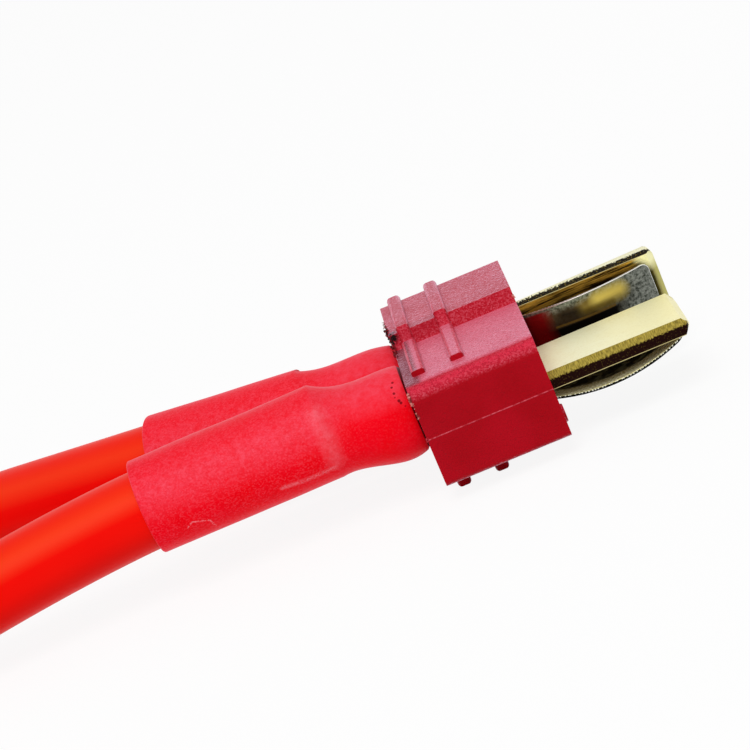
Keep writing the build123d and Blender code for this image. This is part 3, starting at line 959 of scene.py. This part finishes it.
def sleeve(body, side, material):
    """A shrunk sleeve round the lead's end."""
    name = f"{body}_{side}"
    seat = terminal_frame(body, side)
    mesh = bmesh.new()
    loops = []
    for middle, axis, radius in sleeve_walls(sleeve_rings(*exits[name])):
        points = sleeve_loop(middle, axis, radius, len(name))
        loops.append([mesh.verts.new(metres(seat @ point)) for point in points])
    for before, after in zip(loops, loops[1:] + loops[:1]):
        for index in range(sleeve_sides):
            following = (index + 1) % sleeve_sides
            mesh.faces.new((before[index], before[following], after[following], after[index]))
    bmesh.ops.recalc_face_normals(mesh, faces=mesh.faces)
    shown = mesh_from(name + "_sleeve_shown", mesh, material)
    smooth(shown, 50)
    add_piece(name + "_sleeve_shown", shown, "sleeve", name + "_sleeve")


def lead(name, material):
    """A lead as a smooth curve along its route."""
    curve = bpy.data.curves.new(name + "_shown", "CURVE")
    curve.dimensions = "3D"
    spline = curve.splines.new("NURBS")
    spline.points.add(len(routes[name]) - 1)
    for point, corner in zip(spline.points, routes[name]):
        point.co = (*metres(corner), 1)
    spline.order_u = 3
    spline.use_endpoint_u = True
    spline.resolution_u = 16
    curve.bevel_depth = lead_diameter / 2 * MM
    curve.bevel_resolution = 10
    curve.use_fill_caps = True
    curve.materials.append(material)
    return add_piece(name + "_shown", curve, "lead", name)


def crumbs(name, path, count, spread_out, sizes, material, seed):
    """Small rough grains strewn along a path."""
    chance = Random(seed)
    mesh = bmesh.new()
    for grain_number in range(count):
        run = chance.random() * (len(path) - 1)
        step = min(int(run), len(path) - 2)
        middle = Vector(path[step]).lerp(Vector(path[step + 1]), run - step)
        middle += Vector([chance.uniform(-spread_out, spread_out) for _ in range(3)])
        size = chance.uniform(*sizes)
        for vert in bmesh.ops.create_icosphere(mesh, subdivisions=2, radius=1)["verts"]:
            place_in_noise = vert.co * 1.3 + Vector((grain_number * 3.1, 0, 0))
            rough = 1 + crumb_roughness * noise.noise(place_in_noise)
            vert.co = metres(middle + vert.co * size * rough)
    shown = mesh_from(name, mesh, material)
    smooth(shown, 60)
    add_piece(name, shown, "housing")


def bead(name, start, end, width, material):
    """A thin raised line on a flat face, a little uneven, as a mould leaves where its halves meet."""
    start, end = Vector(start), Vector(end)
    mesh = bmesh.new()
    rows = []
    for step in range(seam_steps + 1):
        middle = start.lerp(end, step / seam_steps)
        rough = 0.65 + 0.7 * noise.noise(middle * 1.7)
        row = []
        for side, out in seam_outline:
            point = middle + Vector((0, -out * width * 0.5 * max(0.25, rough), side * width / 2))
            row.append(mesh.verts.new(metres(point)))
        rows.append(row)
    for before, after in zip(rows, rows[1:]):
        for index in range(len(seam_outline) - 1):
            mesh.faces.new((before[index], after[index], after[index + 1], before[index + 1]))
    bmesh.ops.recalc_face_normals(mesh, faces=mesh.faces)
    shown = mesh_from(name, mesh, material)
    smooth(shown, 80)
    add_piece(name, shown, "housing")


# The scene
def camera():
    azimuth = radians(camera_azimuth)
    elevation = radians(camera_elevation)
    roll = radians(camera_roll)
    back = Vector((sin(azimuth) * cos(elevation), -cos(azimuth) * cos(elevation), sin(elevation)))
    level_right = Vector((0, 0, 1)).cross(back).normalized()
    level_up = back.cross(level_right)
    right = level_right * cos(roll) + level_up * sin(roll)
    up = level_up * cos(roll) - level_right * sin(roll)
    data = bpy.data.cameras.new("camera")
    data.lens = camera_lens
    data.sensor_width = 36
    data.clip_start = camera_near * MM
    data.clip_end = camera_far * MM
    made = bpy.data.objects.new("camera", data)
    turn = Matrix((right, up, back)).transposed().to_4x4()
    made.matrix_world = Matrix.Translation(metres(camera_target) + back * camera_distance * MM) @ turn
    bpy.context.scene.collection.objects.link(made)
    bpy.context.scene.camera = made


def seen_directly(tree):
    """1 for rays from the camera, from glossy surfaces and through clear ones, and 0 for others."""
    path = tree.nodes.new("ShaderNodeLightPath")
    value = path.outputs["Is Camera Ray"]
    for other in ("Is Glossy Ray", "Is Transmission Ray"):
        node = tree.nodes.new("ShaderNodeMath")
        node.operation = "MAXIMUM"
        tree.links.new(value, node.inputs[0])
        tree.links.new(path.outputs[other], node.inputs[1])
        value = node.outputs[0]
    return value


def world():
    made = bpy.data.worlds.new("studio")
    made.use_nodes = True
    bpy.context.scene.world = made
    tree = made.node_tree
    tree.nodes.clear()
    light = tree.nodes.new("ShaderNodeBackground")
    light.inputs["Color"].default_value = (1, 1, 1, 1)
    light.inputs["Strength"].default_value = world_light
    white = tree.nodes.new("ShaderNodeBackground")
    white.inputs["Color"].default_value = (1, 1, 1, 1)
    white.inputs["Strength"].default_value = 1.0
    shown = mixed_shader(tree, seen_directly(tree), light.outputs[0], white.outputs[0])
    out = tree.nodes.new("ShaderNodeOutputWorld")
    tree.links.new(shown, out.inputs["Surface"])


def floor_material():
    """A pale matt surface that looks white and keeps a faint shadow."""
    made = bpy.data.materials.new("pale_floor")
    made.use_nodes = True
    tree = made.node_tree
    tree.nodes.clear()
    matt = tree.nodes.new("ShaderNodeBsdfDiffuse")
    matt.inputs["Color"].default_value = (floor_white, floor_white, floor_white, 1)
    glow = tree.nodes.new("ShaderNodeEmission")
    glow.inputs["Strength"].default_value = 1.0
    share = both(made, seen_directly(tree), floor_glow)
    seen = mixed_shader(tree, share, matt.outputs[0], glow.outputs[0])
    out = tree.nodes.new("ShaderNodeOutputMaterial")
    tree.links.new(seen, out.inputs["Surface"])
    return made


def floor():
    half = floor_size / 2
    corners = [(-half, -half), (half, -half), (half, half), (-half, half)]
    mesh = bpy.data.meshes.new("floor")
    mesh.from_pydata([metres((x, y, surface_height)) for x, y in corners], [], [(0, 1, 2, 3)])
    mesh.materials.append(floor_material())
    piece = bpy.data.objects.new("floor", mesh)
    bpy.context.scene.collection.objects.link(piece)


def lamp():
    data = bpy.data.lights.new("overhead", "AREA")
    data.shape = "SQUARE"
    data.size = lamp_size * MM
    data.energy = lamp_power
    piece = bpy.data.objects.new("overhead", data)
    piece.location = metres(lamp_place)
    piece.rotation_euler = Vector(lamp_place).to_track_quat("Z", "Y").to_euler()
    bpy.context.scene.collection.objects.link(piece)


camera()
world()
floor()
lamp()
bpy.context.scene.view_settings.view_transform = "Standard"

red_nylon = nylon("crimson_nylon")
charred_nylon = nylon("crimson_nylon_charred", burns)
pale_seam = rough_plastic("seam", *seam_colours)
pale_crumbs = rough_plastic("crumbs", *pale_crumb_colours)
dark_crumbs = rough_plastic("dark_crumbs", *dark_crumb_colours)
char = rough_plastic("char", *char_colours)
red_tube = shrink_tube("red_shrink_tube")
marked_tube = shrink_tube("red_shrink_tube_marked", marked=True)
red_silicone = silicone("red_silicone")
gold = plating("gold_plating")
stem_edge = punched_edge(
    "punched_edge", burnished_until["stem"], stem_burnished, stem_torn_dark_reflection,
    raggedness=0.4, line_depth=0.4, fleck_share=0.12)
crossbar_edge = punched_edge(
    "punched_edge_pale", burnished_until["crossbar"] - torn_overlap, crossbar_burnished, crossbar_torn_dark_reflection,
    raggedness=0.9, line_depth=0.85, fleck_share=0.6)
under_spring_painted_reflection = under_spring_reflection("gold_painted_reflection")
strip = nickel("nickel_strip")
lit_strip = rimmed_strip("nickel_strip_rimmed")
dark_edge = strip_edge("strip_edge_dark", *dark_edge_colours)
bright_edge = strip_edge("strip_edge_bright", *bright_edge_colours)
solder = tin("tin_solder")

plain("first_plug_housing", "housing", charred_nylon, first_housing_rounding)
plain("second_plug_housing", "housing", red_nylon, housing_rounding)
plain("socket_housing", "housing", red_nylon, housing_rounding)
for side in ("stem", "crossbar"):
    plain(f"socket_{side}_contact", "contact", gold, contact_rounding)
    plain(f"socket_{side}_solder", "solder", solder, solder_rounding)
    plain(f"socket_{side}_sleeve", "sleeve", red_tube, sleeve_rounding)
    for body in ("first_plug", "second_plug"):
        shows_marks = body == "first_plug" and side == "stem"
        blade(body, side, gold, stem_edge if side == "stem" else crossbar_edge, under_spring_painted_reflection)
        if side == "stem":
            spring(body, side, strip, dark_edge, lit_strip)
        else:
            spring(body, side, strip, bright_edge, strip)
        plain(f"{body}_{side}_solder", "solder", solder, solder_rounding)
        sleeve(body, side, marked_tube if shows_marks else red_tube)

bead("first_plug_parting_line", *parting_line, seam_width, pale_seam)
crumbs("first_plug_char", char_edge, 60, 0.12, (0.02, 0.08), char, 3)
crumbs("first_plug_dark_crumbs", crumbly_edge, 90, 0.12, (0.02, 0.08), dark_crumbs, 5)
crumbs("first_plug_nicks", nicked_edge, 34, 0.06, (0.03, 0.1), pale_crumbs, 7)
crumbs("first_plug_burr", burrs, 6, 0.05, (0.04, 0.09), pale_crumbs, 9)
crumbs("first_plug_seam_end", seam_end, 5, 0.04, (0.04, 0.09), pale_seam, 11)

leads = {name: lead(name, red_silicone) for name in routes}
for name, (exit_point, length, far_end, side) in lead_facts.items():
    target = "socket" if far_end == "connector" else "second_plug"
    ends = [f"{target}_{side}_{what}_shown" for what in ("solder", "sleeve")]
    if far_end == "connector":
        ends.append(f"{target}_{side}_contact_shown")
    else:
        ends += [f"{target}_{side}_blade_shown", f"{target}_{side}_spring_shown"]
    if side == "stem":
        ends.append(f"{target}_housing_shown")
